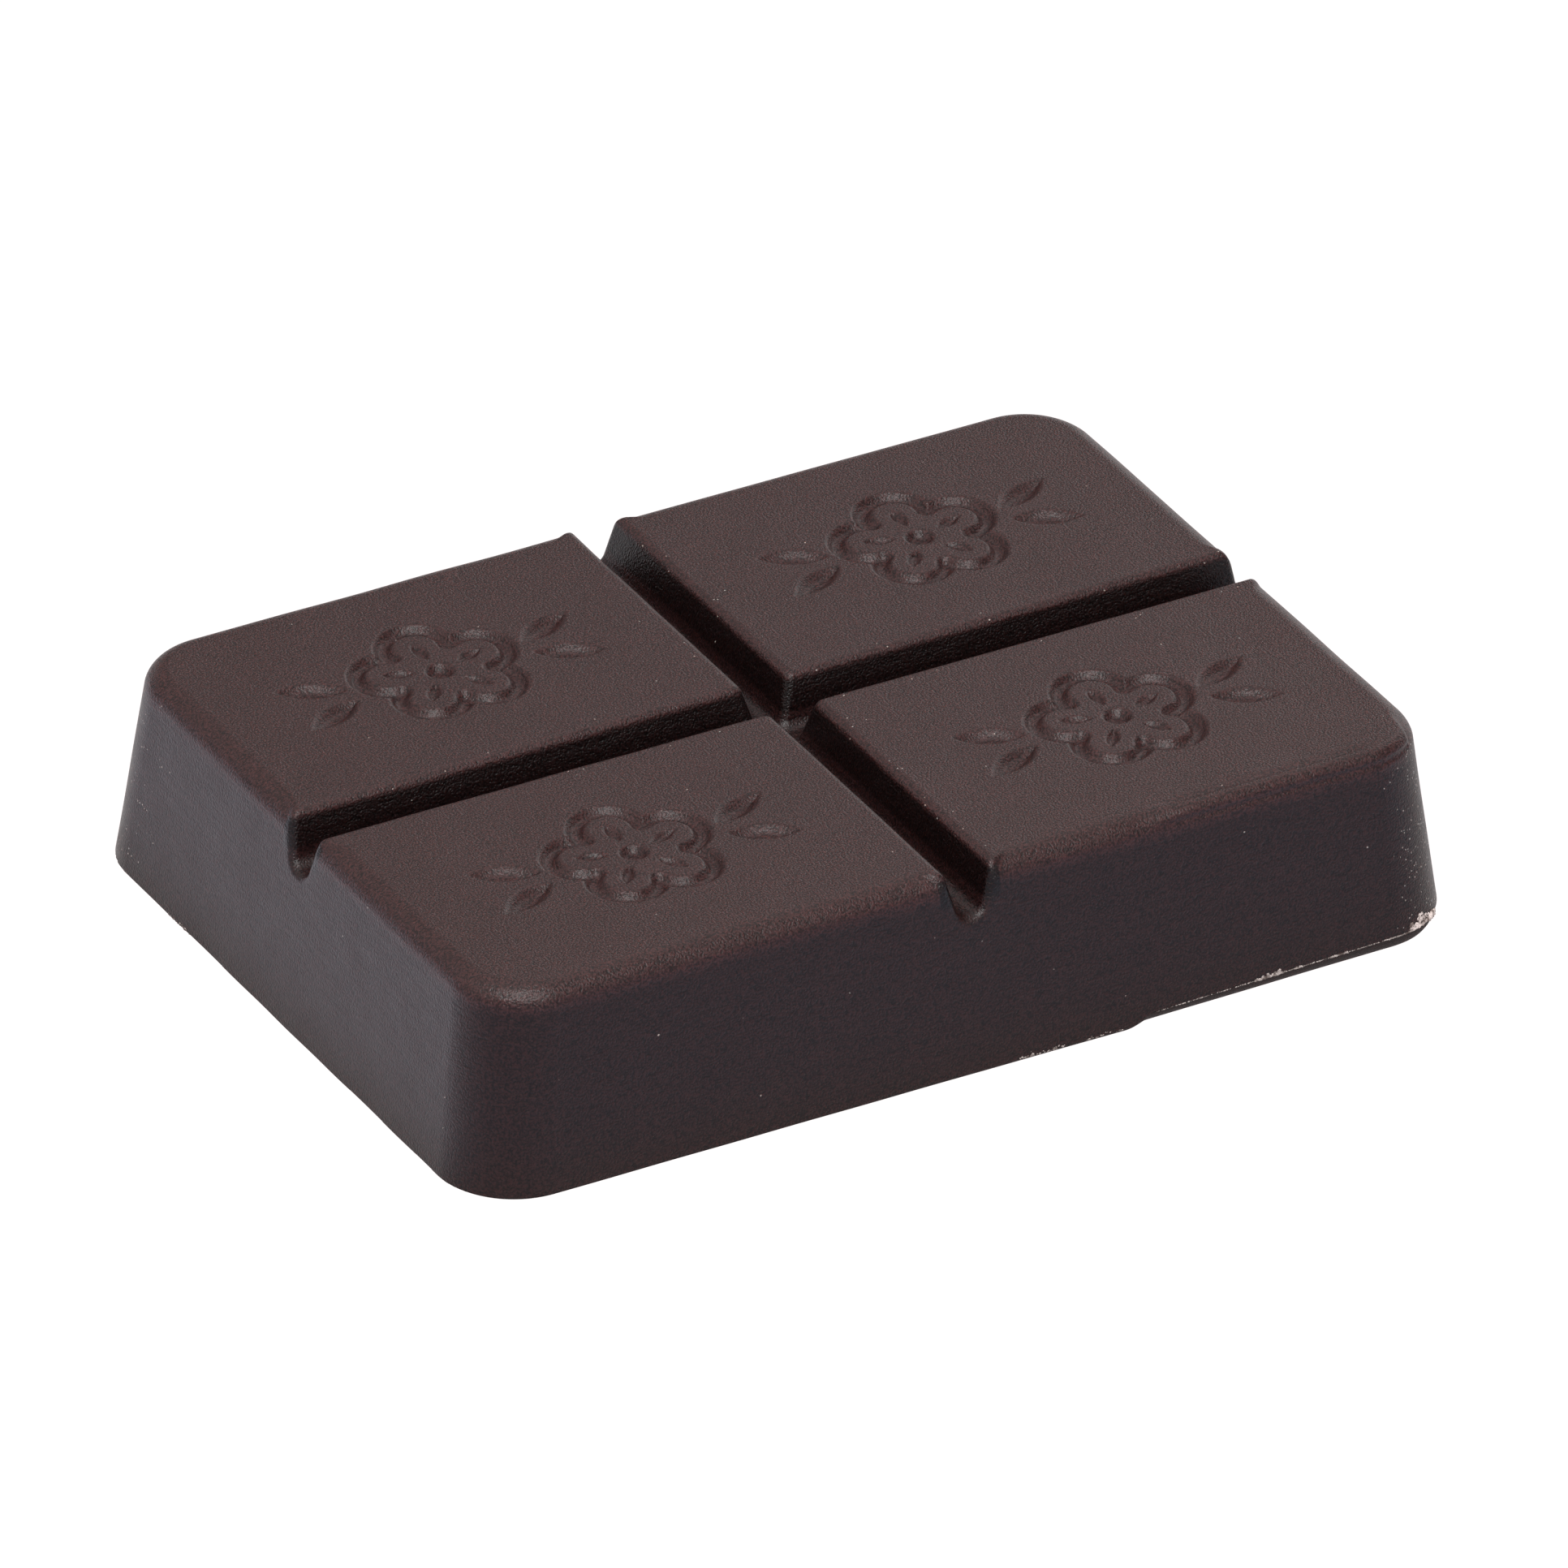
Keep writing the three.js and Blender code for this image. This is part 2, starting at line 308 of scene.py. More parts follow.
def drawn_in(x, z):
    """How far the poured underside lies inside the faces at height z."""
    fade, share = short_part(x)
    whole = between(UNDERSIDE_INSET, np.clip(x / HALF_X / 2 + 0.5, 0, 1))
    corner = 1 - SHORT_CORNER_GAIN * smoothstep(*SHORT_CORNER, x)
    reach = between((whole, between(SHORT_INSET, share) * corner), fade)
    curve = between((UNDERSIDE_CURVE, SHORT_CURVE), fade)
    below = rim_height(x) - z
    step = RIM_STEP * smoothstep(0, RIM_STEP_HEIGHT, below)
    return step + reach * np.clip(below / rim_height(x), 0, 1) ** curve


def outer_faces(x, y, z):
    """The four sloping faces with their round corners, above the poured underside."""
    inset = face_inset(z)
    radius = RIM_CORNER + (TOP_CORNER - RIM_CORNER) * np.clip((z - RIM) / (HEIGHT - RIM), 0, 1)
    qx = np.abs(x) - HALF_X + inset + radius
    qy = np.abs(y) - HALF_Y + inset + radius
    corner = np.hypot(np.maximum(qx, 0), np.maximum(qy, 0))
    face = (corner + np.minimum(np.maximum(qx, qy), 0) - radius) * math.cos(DRAFT)
    return face + drawn_in(x, z)


def bead_part(x, y):
    """1 along the stretch of the front edge that has a bead, 0 elsewhere."""
    along = smoothstep(BEAD_START, BEAD_START + BEAD_FADE, x)
    end = smoothstep(BEAD_END + CELL, BEAD_END - CELL, x)
    return along * end * (y < -HALF_Y / 2)


def bead_valley(x, y):
    """The depth of the shallow valley behind the bead."""
    inward = -outer_faces(x, y, HEIGHT)
    part = bead_part(x, y) * smoothstep(*BEAD_VALLEY_END, x)
    return BEAD_VALLEY * part * bump(inward - BEAD_INSET, BEAD_WIDTH)


def bead_crease(x, y, z):
    """The depth of the crease below the bead."""
    drop = HEIGHT - z - BEAD_CREASE_DROP
    return BEAD_CREASE * bead_part(x, y) * bump(drop, BEAD_CREASE_WIDTH)


def make_waves():
    """Seeded waves for the casting's unevenness, as rows of x, y and z turns per mm, and phase."""
    rng = np.random.default_rng(UNEVEN_SEED)
    turns = rng.normal(size=(UNEVEN_WAVES, 3))
    turns /= np.linalg.norm(turns, axis=1, keepdims=True)
    turns *= 2 * math.pi / rng.uniform(*UNEVEN_LENGTHS, size=(UNEVEN_WAVES, 1))
    return np.hstack([turns, rng.uniform(0, 2 * math.pi, size=(UNEVEN_WAVES, 1))])


WAVES = make_waves()


def unevenness(x, y, z):
    """How far the casting's surface strays from its true form."""
    return UNEVENNESS * sum(np.sin(a * x + b * y + (c * z + start)) for a, b, c, start in WAVES)


def grooves(x, y, z):
    """The walls and floor of the two crossed grooves, positive in the open."""
    lean = (HEIGHT - z) * math.tan(GROOVE_SLOPE)
    cross = (CROSS_GROOVE / 2 - lean - np.abs(x)) * math.cos(GROOVE_SLOPE)
    long = (LONG_GROOVE / 2 - lean - np.abs(y)) * math.cos(GROOVE_SLOPE)
    walls = round_max(cross, long, CROSSING_RADIUS)
    return round_min(walls, z - (HEIGHT - GROOVE_DEPTH), GROOVE_FOOT)


def segment_middle(half, groove):
    outer = half - face_inset(HEIGHT) - OUTER_EDGE_WIDTH
    return (outer + groove / 2 + LIP_EDGE_WIDTH) / 2


def stroke(distance):
    """The depth of an engraved stroke, by the distance from its middle line."""
    return STROKE_DEPTH * (1 - smoothstep(STROKE_INNER, STROKE_OUTER, distance))


def petal(u, v, turn):
    """How deep the arc of one petal is cut, out to where it meets the petals beside it."""
    half_pitch = math.pi / PETALS
    sweep = half_pitch + math.asin(PETAL_DISTANCE * math.sin(half_pitch) / PETAL_RADIUS)
    along = u * math.cos(turn) + v * math.sin(turn) - PETAL_DISTANCE
    across = np.abs(v * math.cos(turn) - u * math.sin(turn))
    on_arc = np.abs(np.hypot(along, across) - PETAL_RADIUS)
    end_x, end_y = PETAL_RADIUS * math.cos(sweep), PETAL_RADIUS * math.sin(sweep)
    past_end = np.hypot(along - end_x, across - end_y)
    return stroke(np.where(np.arctan2(across, along) <= sweep, on_arc, past_end))


def lens(u, v, place, turn, size, depth):
    """A pointed cut, deepest at its middle."""
    du, dv = u - place[0], v - place[1]
    along = (du * math.cos(turn) + dv * math.sin(turn)) / (size[0] / 2)
    across = np.abs(dv * math.cos(turn) - du * math.sin(turn)) / (size[1] / 2)
    return depth * smoothstep(0, LENS_BEVEL, 1 - along**2 - across)


def engraving(x, y):
    """The depth of the blossom and its leaves below the top face."""
    u = x - np.sign(x) * segment_middle(HALF_X, CROSS_GROOVE)
    v = y - np.sign(y) * segment_middle(HALF_Y, LONG_GROOVE)
    depth = stroke(np.hypot(u, v) - HEART_RADIUS)
    for i in range(PETALS):
        turn = math.pi / 2 + i * 2 * math.pi / PETALS
        middle = (VEIN_MIDDLE * math.cos(turn), VEIN_MIDDLE * math.sin(turn))
        depth = np.maximum(depth, petal(u, v, turn))
        depth = np.maximum(depth, lens(u, v, middle, turn, VEIN_SIZE, VEIN_DEPTH))
    for side_x in (-1, 1):
        for side_y in (-1, 1):
            place = (side_x * LEAF_PLACE[0], side_y * LEAF_PLACE[1])
            turn = side_x * side_y * LEAF_TILT
            depth = np.maximum(depth, lens(u, v, place, turn, LEAF_SIZE, STROKE_DEPTH))
    return depth + bead_valley(x, y)


def bar_field(x, y, z, depth):
    """Distance to the bar's surface, negative inside. depth is the engraving's at x and y."""
    outer = outer_faces(x, y, z)
    inner = grooves(x, y, z)
    sides = round_max(outer + bead_crease(x, y, z), inner, MOUTH_RADIUS)
    edge = between((LIP_EDGE, OUTER_EDGE), smoothstep(-EDGE_BLEND, EDGE_BLEND, outer - inner))
    edge = edge * (1 - BEAD_SHARPNESS * bead_part(x, y))
    body = round_max(sides, z - HEIGHT + depth, edge) + unevenness(x, y, z)
    return round_max(body, -z, BASE_EDGE)


# ---------------------------------------------------------------- from field to mesh
def sample_field():
    """The field on a grid of cells, as (origin, values)."""
    axes = []
    for low, high in ((-HALF_X, HALF_X), (-HALF_Y, HALF_Y), (0, HEIGHT)):
        axes.append(np.arange(low - MARGIN, high + MARGIN + CELL, CELL))
    x, y = np.meshgrid(axes[0], axes[1], indexing="ij")
    depth = engraving(x, y)
    layers = [bar_field(x, y, z, depth).astype(np.float32) for z in axes[2]]
    return np.array([axis[0] for axis in axes]), np.stack(layers, axis=2)


def shifted(values, offset):
    """values at one corner of every cell."""
    cut = tuple(slice(o, n - 1 + o) for o, n in zip(offset, values.shape))
    return values[cut]


def surface_nets(origin, values):
    """One point in each cell that the surface crosses, and the quads between them."""
    inside = values < 0
    corners = [(i, j, k) for i in (0, 1) for j in (0, 1) for k in (0, 1)]
    count = sum(shifted(inside, c).astype(np.int8) for c in corners)
    cells = np.argwhere((count > 0) & (count < 8))
    number = np.full(count.shape, -1, np.int32)
    number[tuple(cells.T)] = np.arange(len(cells))
    points = origin + CELL * (cells + crossing_middles(values, cells, corners))
    return points, net_quads(inside, number)


def crossing_middles(values, cells, corners):
    """The middle of the places where the surface crosses each cell's edges, in cells."""
    total = np.zeros((len(cells), 3))
    hits = np.zeros(len(cells))
    for axis in range(3):
        for corner in (c for c in corners if c[axis] == 0):
            start = cells + corner
            end = start.copy()
            end[:, axis] += 1
            a, b = values[tuple(start.T)], values[tuple(end.T)]
            crossed = (a < 0) != (b < 0)
            share = a / np.where(crossed, a - b, 1)
            point = np.tile(np.array(corner, float), (len(cells), 1))
            point[:, axis] = share
            total += point * crossed[:, None]
            hits += crossed
    return total / hits[:, None]


def net_quads(inside, number):
    """A quad around each grid edge that the surface crosses, facing outward."""
    quads = []
    for axis in range(3):
        a, b = (i for i in range(3) if i != axis)
        low = np.take(inside, range(inside.shape[axis] - 1), axis)
        high = np.take(inside, range(1, inside.shape[axis]), axis)
        edges = np.argwhere(low != high)
        step_a, step_b = np.eye(3, dtype=int)[a], np.eye(3, dtype=int)[b]
        ring = (edges - step_a - step_b, edges - step_b, edges, edges - step_a)
        faces = np.stack([number[tuple(r.T)] for r in ring], axis=1)
        outward = low[tuple(edges.T)] == (axis != 1)
        faces[~outward] = faces[~outward][:, ::-1]
        quads.append(faces)
    return np.concatenate(quads)


def field_at(points):
    x, y, z = points.T
    return bar_field(x, y, z, engraving(x, y))


def gradient_at(points):
    steps = PROBE * np.eye(3)
    rises = [field_at(points + step) - field_at(points - step) for step in steps]
    return np.stack(rises, axis=1) / (2 * PROBE)


def settle(points, rounds):
    """Moves points onto the surface, along each axis by at most half a cell a round."""
    for _ in range(rounds):
        slope = gradient_at(points)
        square = np.maximum((slope**2).sum(axis=1), LEAST_SLOPE)
        move = -(field_at(points) / square)[:, None] * slope
        points = points + np.clip(move, -CELL / 2, CELL / 2)
    return points


def mesh_from(name, points, faces):
    """A smooth mesh from points in mm and faces of equally many corners."""
    mesh = bpy.data.meshes.new(name)
    count, corners = faces.shape
    mesh.vertices.add(len(points))
    mesh.vertices.foreach_set("co", (points * MM).astype(np.float32).ravel())
    mesh.loops.add(count * corners)
    mesh.loops.foreach_set("vertex_index", faces.astype(np.int32).ravel())
    mesh.polygons.add(count)
    mesh.polygons.foreach_set("loop_start", np.arange(0, count * corners, corners, dtype=np.int32))
    mesh.polygons.foreach_set("use_smooth", np.ones(count, bool))
    mesh.update(calc_edges=True)
    return mesh


def link(name, mesh):
    piece = bpy.data.objects.new(name, mesh)
    bpy.context.scene.collection.objects.link(piece)
    return piece


def thinned(piece, triangles):
    """The piece's mesh with few triangles where it is flat."""
    piece.data.calc_loop_triangles()
    thin = piece.modifiers.new("thin", "DECIMATE")
    thin.ratio = triangles / len(piece.data.loop_triangles)
    seen = piece.evaluated_get(bpy.context.evaluated_depsgraph_get())
    mesh = bpy.data.meshes.new_from_object(seen)
    piece.modifiers.remove(thin)
    return mesh


def vertices_of(mesh):
    co = np.empty(len(mesh.vertices) * 3, np.float32)
    mesh.vertices.foreach_get("co", co)
    return co.reshape(-1, 3).astype(float) / MM


def make_bar():
    points, quads = surface_nets(*sample_field())
    rough = mesh_from("chocolate", settle(points, FIRST_SETTLING), quads)
    bar = link("bar_body", rough)
    mesh = thinned(bar, TRIANGLES)
    bar.data = mesh
    bpy.data.meshes.remove(rough)
    points = settle(vertices_of(mesh), LAST_SETTLING)
    mesh.vertices.foreach_set("co", (points * MM).astype(np.float32).ravel())
    mesh.update()
    slope = gradient_at(points)
    normals = slope / np.linalg.norm(slope, axis=1, keepdims=True)
    mesh.normals_split_custom_set_from_vertices(normals.tolist())
    return bar


# ---------------------------------------------------------------- crumbs along the rim
def lump_shape():
    """The twelve corners and twenty faces that every crumb starts from."""
    golden = (1 + math.sqrt(5)) / 2
    corners = []
    for a in (-1, 1):
        for b in (-golden, golden):
            corners += [(0, a, b), (a, b, 0), (b, 0, a)]
    corners = np.array(corners)
    gaps = np.linalg.norm(corners[:, None] - corners[None], axis=2)
    near = np.isclose(gaps, 2)
    faces = []
    for i in range(len(corners)):
        for j in range(i + 1, len(corners)):
            for k in range(j + 1, len(corners)):
                if near[i, j] and near[j, k] and near[i, k]:
                    a, b, c = corners[[i, j, k]]
                    outward = np.dot(np.cross(b - a, c - a), a) > 0
                    faces.append((i, j, k) if outward else (i, k, j))
    return corners / math.hypot(1, golden), np.array(faces)


def crumb_places(rng, count, x_range, y, rise):
    """Points just outside the bar, between two x, and between two heights above its rim."""
    x = rng.uniform(*x_range, count)
    z = rim_height(x) + rng.uniform(*rise, count)
    return np.stack([x, np.full(count, y), z], axis=1)


def crumb_sizes(rng, count, size_range):
    return rng.uniform(*size_range, count) * rng.uniform(CRUMB_LEAST, 1, count)


def front_crumbs(rng, count, x_range, rise, size_range):
    """Crumbs along the front rim, as (places, sizes), in mm."""
    places = crumb_places(rng, count, x_range, -HALF_Y, rise)
    return places, crumb_sizes(rng, count, size_range)


def side_crumbs(rng, x, count, y_range, rise, size_range):
    """Crumbs along the rim at one of the ends, as (places, sizes), in mm."""
    places = crumb_places(rng, count, (x, x), 0, rise)
    places[:, 1] = rng.uniform(*y_range, count)
    return places, crumb_sizes(rng, count, size_range)


def crumb_groups(rng):
    """The places and sizes of every crumb, thickest at the right corner."""
    groups = [front_crumbs(rng, *tear) for tear in FRONT_TEARS]
    groups.append(side_crumbs(rng, -HALF_X, *LEFT_TEAR))
    groups.append(side_crumbs(rng, HALF_X, *RIGHT_TEAR))
    places, sizes = zip(*groups)
    return np.concatenate(places), np.concatenate(sizes)


def crumb_axes(rng, out):
    """The length, width and thickness of each crumb, lying flat on the surface."""
    along = np.cross(out, (0, 0, 1))
    along /= np.linalg.norm(along, axis=1, keepdims=True)
    across = np.cross(out, along)
    lean = rng.normal(0, CRUMB_LEAN, len(out))[:, None]
    along, across = (np.cos(lean) * along + np.sin(lean) * across,
                     np.cos(lean) * across - np.sin(lean) * along)
    return np.stack([along, across * CRUMB_WIDTH, out * CRUMB_THICKNESS], axis=1)


def make_crumbs():
    """Flakes and crumbs torn from the rim, as one piece."""
    rng = np.random.default_rng(CRUMB_SEED)
    corners, faces = lump_shape()
    places, sizes = crumb_groups(rng)
    places = settle(places, CRUMB_SETTLING)
    out = gradient_at(places)
    out /= np.linalg.norm(out, axis=1, keepdims=True)
    spread = crumb_axes(rng, out)
    rough = corners[None] * rng.uniform(*CRUMB_ROUGHNESS, (len(places), len(corners), 1))
    points = np.einsum("nij,njk->nik", rough, spread) * sizes[:, None, None]
    points += (places - CRUMB_SUNK * sizes[:, None] * out)[:, None]
    shift = len(corners) * np.arange(len(places))[:, None, None]
    crumbs = link("rim_crumbs", mesh_from("crumbs", points.reshape(-1, 3),
                                          (faces[None] + shift).reshape(-1, 3)))
    crumbs.data.polygons.foreach_set("use_smooth", np.zeros(len(crumbs.data.polygons), bool))
    return crumbs


# ---------------------------------------------------------------- materials
class Nodes:
    """Adds nodes to a new material, and joins them."""

    def __init__(self, name):
        self.material = bpy.data.materials.new(name)
        self.material.use_nodes = True
        self.tree = self.material.node_tree
        self.shader = self.tree.nodes["Principled BSDF"]

    def add(self, kind, values, output=0, **settings):
        """A node of this kind, and one of its outputs. values may be numbers or outputs."""
        node = self.tree.nodes.new(kind)
        for key, value in settings.items():
            setattr(node, key, value)
        for key, value in values.items():
            self.set(node, key, value)
        return node.outputs[output]

    def set(self, node, key, value):
        if isinstance(value, bpy.types.NodeSocket):
            self.tree.links.new(value, node.inputs[key])
        else:
            node.inputs[key].default_value = value

    def place(self, scale=(1, 1, 1)):
        """Where on the bar, in mm, stretched by scale."""
        at = self.add("ShaderNodeTexCoord", {}, "Object")
        size = [part / MM for part in scale]
        return self.add("ShaderNodeMapping", {"Vector": at, "Scale": size})

    def noise(self, place, length, detail=2.0, roughness=0.5):
        """Noise from 0 to 1, whose blotches are about this many mm long."""
        values = {"Vector": place, "Scale": 1 / length, "Detail": detail, "Roughness": roughness}
        return self.add("ShaderNodeTexNoise", values, "Fac")

    def ramp(self, value, low, high, to_low=0.0, to_high=1.0):
        values = {"Value": value, "From Min": low, "From Max": high,
                  "To Min": to_low, "To Max": to_high}
        return self.add("ShaderNodeMapRange", values, interpolation_type="SMOOTHSTEP")

    def maths(self, operation, a, b):
        return self.add("ShaderNodeMath", {0: a, 1: b}, operation=operation)

    def mix(self, share, a, b):
        """Between two colours."""
        values = {0: share, 6: a, 7: b}
        return self.add("ShaderNodeMix", values, 2, data_type="RGBA")


def part_of(nodes, place, axis, start, full):
    """From 0 at start to 1 at full, along one axis."""
    parts = nodes.add("ShaderNodeSeparateXYZ", {"Vector": place}, axis)
    return nodes.ramp(parts, start, full)


def speck_mask(nodes, place, amount):
    """Sparse tiny specks, 0 to 1. amount, from 0 to 1, is how many of them show."""
    values = {"Vector": place, "Scale": SPECKS_PER_MM}
    wobble = nodes.add("ShaderNodeTexNoise", values, "Color")
    wobble = nodes.add("ShaderNodeVectorMath", {0: wobble, 1: SPECK_WANDER}, operation="MULTIPLY")
    moved = nodes.add("ShaderNodeVectorMath", {0: wobble, 1: place}, operation="ADD")
    cells = nodes.tree.nodes.new("ShaderNodeTexVoronoi")
    nodes.set(cells, "Vector", moved)
    nodes.set(cells, "Scale", SPECKS_PER_MM)
    chance = nodes.add("ShaderNodeSeparateColor", {"Color": cells.outputs["Color"]}, 0)
    chosen = nodes.maths("LESS_THAN", chance, amount)
    small = nodes.ramp(cells.outputs["Distance"], *SPECK_EDGE)
    return nodes.maths("MULTIPLY", chosen, small)


def speck_amount(nodes, place):
    """Many specks on the right corner, some on the far left one and the grooves' lips."""
    right = nodes.maths("MULTIPLY", part_of(nodes, place, "X", *RIGHT_SPECKS_X),
                        part_of(nodes, place, "Y", *RIGHT_SPECKS_Y))
    left = nodes.maths("MULTIPLY", part_of(nodes, place, "X", *LEFT_SPECKS_X),
                       part_of(nodes, place, "Y", *LEFT_SPECKS_Y))
    both = nodes.maths("MAXIMUM", right, nodes.maths("MULTIPLY", left, LEFT_SHARE))
    both = nodes.maths("MULTIPLY", both, part_of(nodes, place, "Z", *SPECK_WALL))
    many = nodes.maths("MULTIPLY", both, RIGHT_SPECKS)
    near = nodes.add("ShaderNodeVectorMath", {0: place}, operation="ABSOLUTE")
    lips = nodes.maths("MAXIMUM", part_of(nodes, near, "X", *LIP_REACH),
                       part_of(nodes, near, "Y", *LIP_REACH))
    lips = nodes.maths("MULTIPLY", lips, part_of(nodes, place, "Z", *LIP_TOP))
    few = nodes.ramp(lips, 0.0, 1.0, STRAY_SPECKS, LIP_SPECKS)
    return nodes.maths("ADD", many, few)


def groove_mask(nodes, place):
    """1 on the grooves' walls, 0 elsewhere."""
    near = nodes.add("ShaderNodeVectorMath", {0: place}, operation="ABSOLUTE")
    groove = nodes.maths("MAXIMUM", part_of(nodes, near, "X", *GROOVE_REACH_X),
                         part_of(nodes, near, "Y", *GROOVE_REACH_Y))
    groove = nodes.maths("MULTIPLY", groove, part_of(nodes, place, "Z", *GROOVE_MOUTH))
    return nodes.maths("MULTIPLY", groove, part_of(nodes, place, "Z", *GROOVE_FLOOR))


def underside_mask(nodes, place):
    """1 on the poured underside, 0 elsewhere."""
    normal = nodes.add("ShaderNodeTexCoord", {}, "Normal")
    facing_down = part_of(nodes, normal, "Z", *UNDER_TURN)
    return nodes.maths("MULTIPLY", facing_down, part_of(nodes, place, "Z", *UNDER_FADE))


def chocolate_shade(nodes, textures, masks):
    """How much of the chocolate's colour shows: its grain and mottling, times the painted shade.
    """
    grain, mottle, streaks = textures
    wall, groove, underside = masks
    shade = nodes.ramp(grain, *GRAIN_SHADE)
    shade = nodes.maths("MULTIPLY", shade, nodes.ramp(mottle, *MOTTLE_SHADE))
    shade = nodes.maths("MULTIPLY", shade, nodes.ramp(streaks, *MOTTLE_SHADE))
    # Painted shade: the colour is darker on the walls, in the grooves and on the underside
    painted_shade = nodes.ramp(wall, 0.0, 1.0, 1.0, WALL_PAINTED_SHADE)
    painted_shade = nodes.maths("MINIMUM", painted_shade, nodes.ramp(groove, 0.0, 1.0, 1.0, GROOVE_PAINTED_SHADE))
    painted_shade = nodes.maths("MINIMUM", painted_shade, nodes.ramp(underside, 0.0, 1.0, 1.0, UNDER_PAINTED_SHADE))
    return nodes.maths("MULTIPLY", shade, painted_shade)


def chocolate_material():
    nodes = Nodes("dark_chocolate")
    place = nodes.place()
    grain = nodes.noise(place, *GRAIN)
    mottle = nodes.noise(place, *MOTTLE)
    streaks = nodes.noise(nodes.place(STREAK_STRETCH), *STREAKS)
    # Where shade is painted: the walls, the grooves and the underside; the last two also set
    # roughness
    wall = part_of(nodes, place, "Z", *WALL_FADE)
    groove = groove_mask(nodes, place)
    underside = underside_mask(nodes, place)
    specks = speck_mask(nodes, place, speck_amount(nodes, place))
    shade = chocolate_shade(nodes, (grain, mottle, streaks), (wall, groove, underside))
    colour = nodes.add("ShaderNodeVectorMath", {0: CHOCOLATE, "Scale": shade}, operation="SCALE")
    colour = nodes.mix(nodes.maths("MULTIPLY", specks, SPECK_STRENGTH), colour, SPECK)
    roughness = nodes.ramp(mottle, *ROUGHNESS)
    roughness = nodes.ramp(groove, 0.0, 1.0, roughness, GROOVE_ROUGHNESS)
    roughness = nodes.ramp(underside, 0.0, 1.0, roughness, UNDER_ROUGHNESS)
    height = nodes.maths("ADD", grain, nodes.maths("MULTIPLY", streaks, STREAK_HEIGHT))
    height = nodes.maths("ADD", height, nodes.maths("MULTIPLY", specks, SPECK_HEIGHT))
    bump = {"Height": height, "Distance": BUMP_HEIGHT * MM, "Strength": 1.0}
    shader = nodes.shader
    nodes.set(shader, "Base Color", colour)
    nodes.set(shader, "Roughness", roughness)
    nodes.set(shader, "Normal", nodes.add("ShaderNodeBump", bump))
    shader.inputs["IOR"].default_value = IOR
    shader.inputs["Specular IOR Level"].default_value = SHINE
    shader.inputs["Subsurface Weight"].default_value = SUBSURFACE
    shader.inputs["Subsurface Radius"].default_value = SUBSURFACE_RADIUS
    shader.inputs["Subsurface Scale"].default_value = SUBSURFACE_DEPTH * MM
    return nodes.material


def crumb_material():
    """Torn, powdery chocolate in pale and dark patches, darker away from the right corner."""
    nodes = Nodes("torn_chocolate")
    place = nodes.place()
    patches = nodes.ramp(nodes.noise(place, *TORN_PATCHES), *TORN_PATCH_EDGE)
    colour = nodes.mix(patches, TORN_DARK, TORN_PALE)
    fine = nodes.ramp(nodes.noise(place, TORN_GRAIN), *TORN_GRAIN_SHADE)
    toward_corner = part_of(nodes, place, "X", *PALE_TEARS_X)
    toward_corner = nodes.ramp(toward_corner, 0.0, 1.0, OFF_CORNER_TEAR_SHADE, 1.0)
    fine = nodes.maths("MULTIPLY", fine, toward_corner)
    colour = nodes.add("ShaderNodeVectorMath", {0: colour, "Scale": fine}, operation="SCALE")
    nodes.set(nodes.shader, "Base Color", colour)
    nodes.shader.inputs["Roughness"].default_value = TORN_ROUGHNESS
    nodes.shader.inputs["Specular IOR Level"].default_value = TORN_SHINE
    return nodes.material


def floor_material():
    """A light table in three zones, each brighter than white."""
    nodes = Nodes("pale_floor")
    place = nodes.place()
    bright = nodes.maths("MULTIPLY", part_of(nodes, place, "X", *BRIGHT_X),
                         part_of(nodes, place, "X", *BRIGHT_END))
    bright = nodes.maths("MULTIPLY", bright, part_of(nodes, place, "Y", *BRIGHT_Y))
    plain = nodes.maths("MULTIPLY", part_of(nodes, place, "X", *PLAIN_X),
                        part_of(nodes, place, "Y", *PLAIN_Y))
    glow = nodes.mix(plain, FLOOR_FRONT, FLOOR_PLAIN)
    shader = nodes.shader
    nodes.set(shader, "Emission Color", nodes.mix(bright, glow, FLOOR_BACK_LEFT))
    shader.inputs["Emission Strength"].default_value = 1
    shader.inputs["Base Color"].default_value = (0, 0, 0, 1)
    shader.inputs["Specular IOR Level"].default_value = 0
    return nodes.material


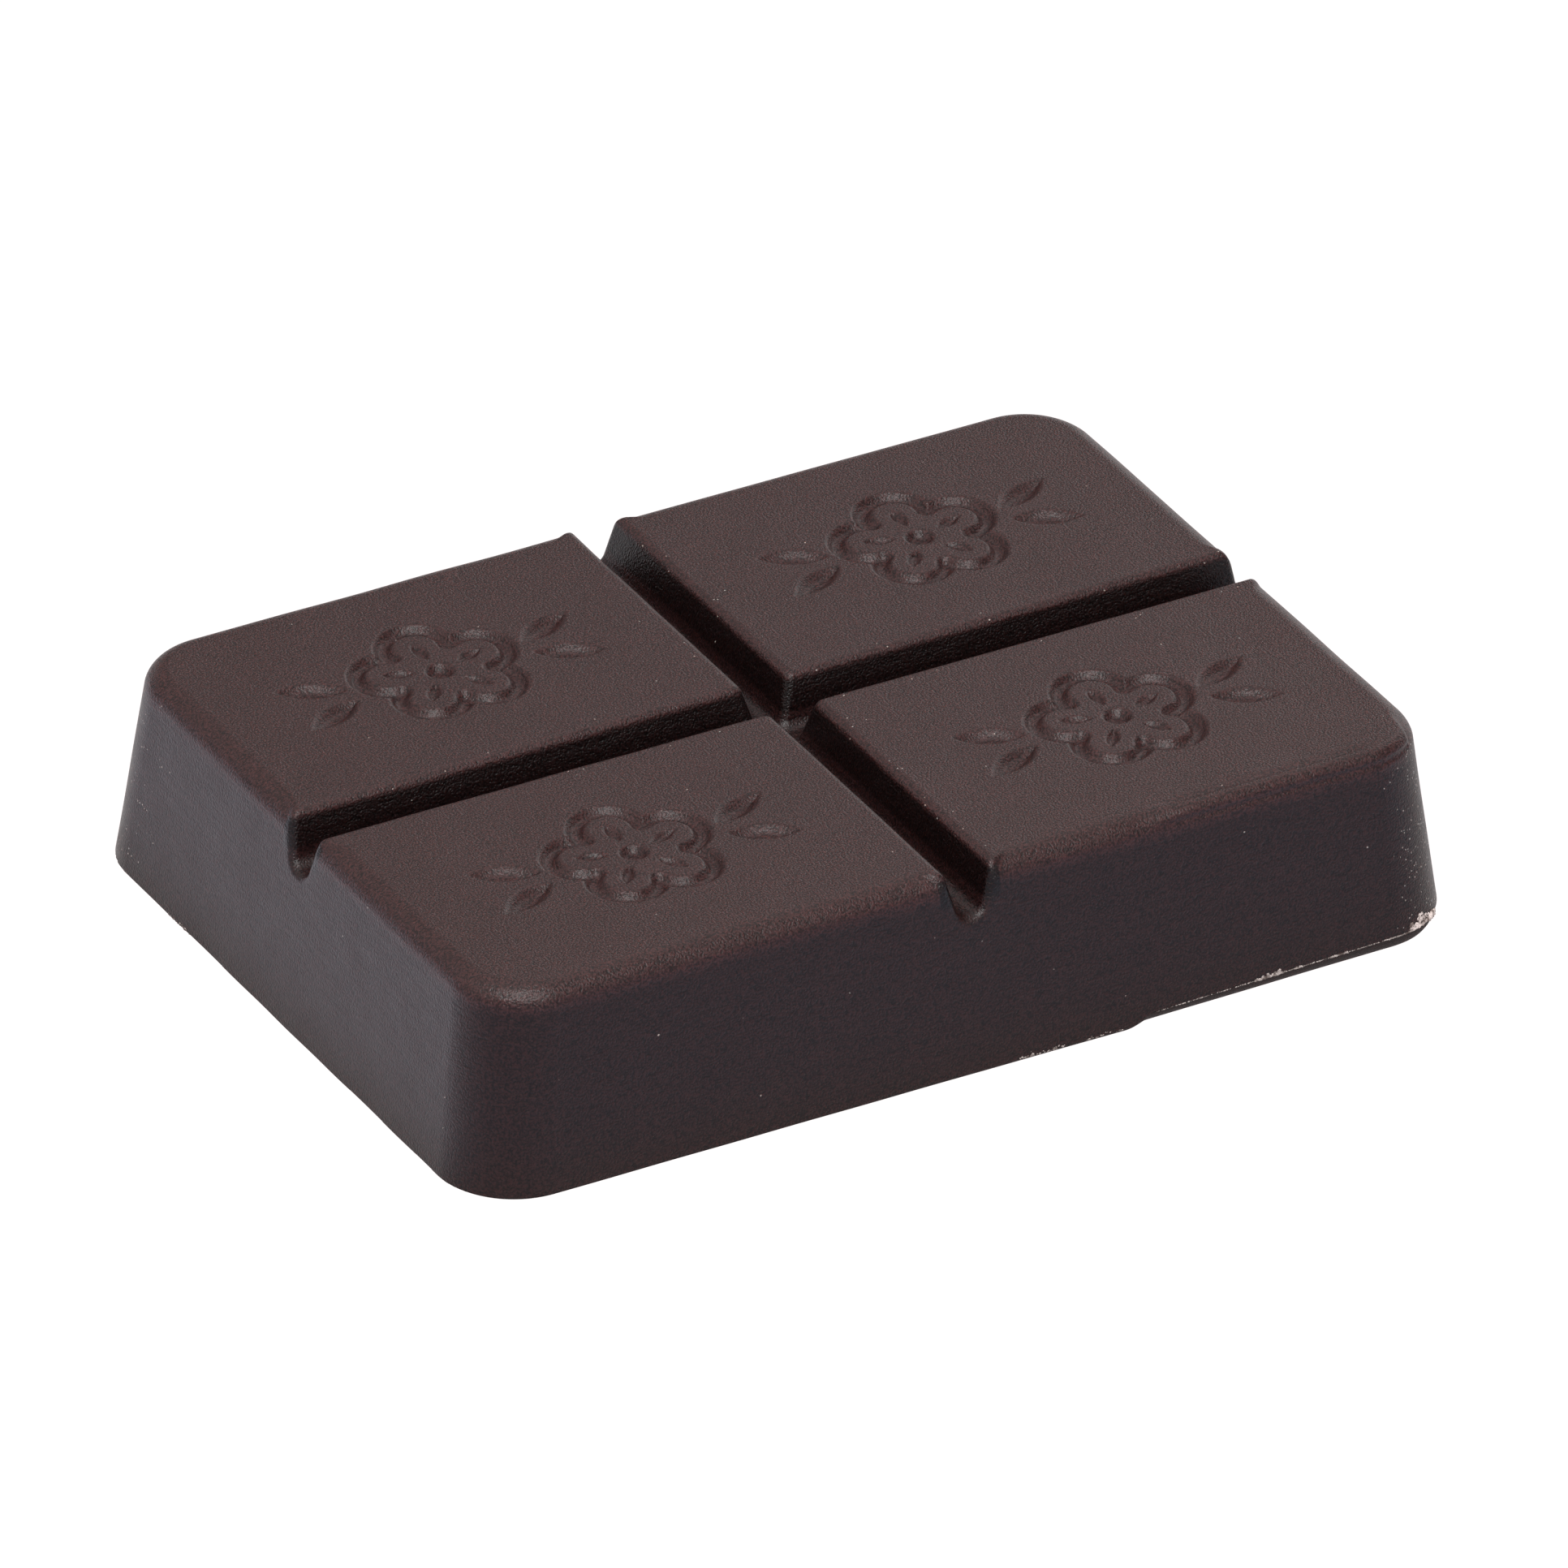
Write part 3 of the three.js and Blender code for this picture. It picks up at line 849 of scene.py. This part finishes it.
# ---------------------------------------------------------------- studio
def back_direction(azimuth, elevation):
    """From the bar towards a camera or a lamp."""
    flat = math.cos(elevation)
    return Vector((math.sin(azimuth) * flat, -math.cos(azimuth) * flat, math.sin(elevation)))


def make_camera():
    data = bpy.data.cameras.new("camera")
    data.sensor_width = SENSOR
    data.lens = FOCAL_PIXELS * SENSOR / IMAGE_SIDE
    data.clip_start, data.clip_end = CLIPPING
    camera = link("camera", data)
    back = back_direction(AZIMUTH, ELEVATION)
    camera.location = AIM + CAMERA_DISTANCE * back
    roll = Quaternion((0, 0, 1), ROLL)
    camera.rotation_euler = ((-back).to_track_quat("-Z", "Y") @ roll).to_euler()
    bpy.context.scene.camera = camera


def make_floor():
    square = np.array([[-1, -1, 0], [1, -1, 0], [1, 1, 0], [-1, 1, 0]])
    floor = link("floor", mesh_from("floor", square * FLOOR_REACH, np.array([[0, 1, 2, 3]])))
    floor.data.materials.append(floor_material())


def soft_light(name, azimuth, elevation, size, power):
    """A round lamp aimed at the bar. Its azimuth turns from the front towards the right."""
    data = bpy.data.lights.new(name, "AREA")
    data.shape = "DISK"
    data.size = size
    data.energy = power
    data.color = LIGHT_COLOUR
    light = link(name, data)
    back = back_direction(math.radians(azimuth), math.radians(elevation))
    light.location = LIGHT_DISTANCE * back
    light.rotation_euler = (-back).to_track_quat("-Z", "Y").to_euler()


def make_world():
    world = bpy.data.worlds.new("studio")
    bpy.context.scene.world = world
    world.use_nodes = True
    background = world.node_tree.nodes["Background"]
    background.inputs["Color"].default_value = (1, 1, 1, 1)
    background.inputs["Strength"].default_value = WORLD_GLOW


def make_studio():
    make_world()
    make_floor()
    for name, values in LAMPS.items():
        soft_light(name, *values)
    bpy.context.scene.view_settings.view_transform = "Standard"


# ---------------------------------------------------------------- the scene
make_camera()
make_studio()
bar = make_bar()
bar.data.materials.append(chocolate_material())
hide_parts("chocolate_bar")
crumbs = make_crumbs()
crumbs.data.materials.append(crumb_material())
for piece in (bar, crumbs):
    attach(piece, "root")
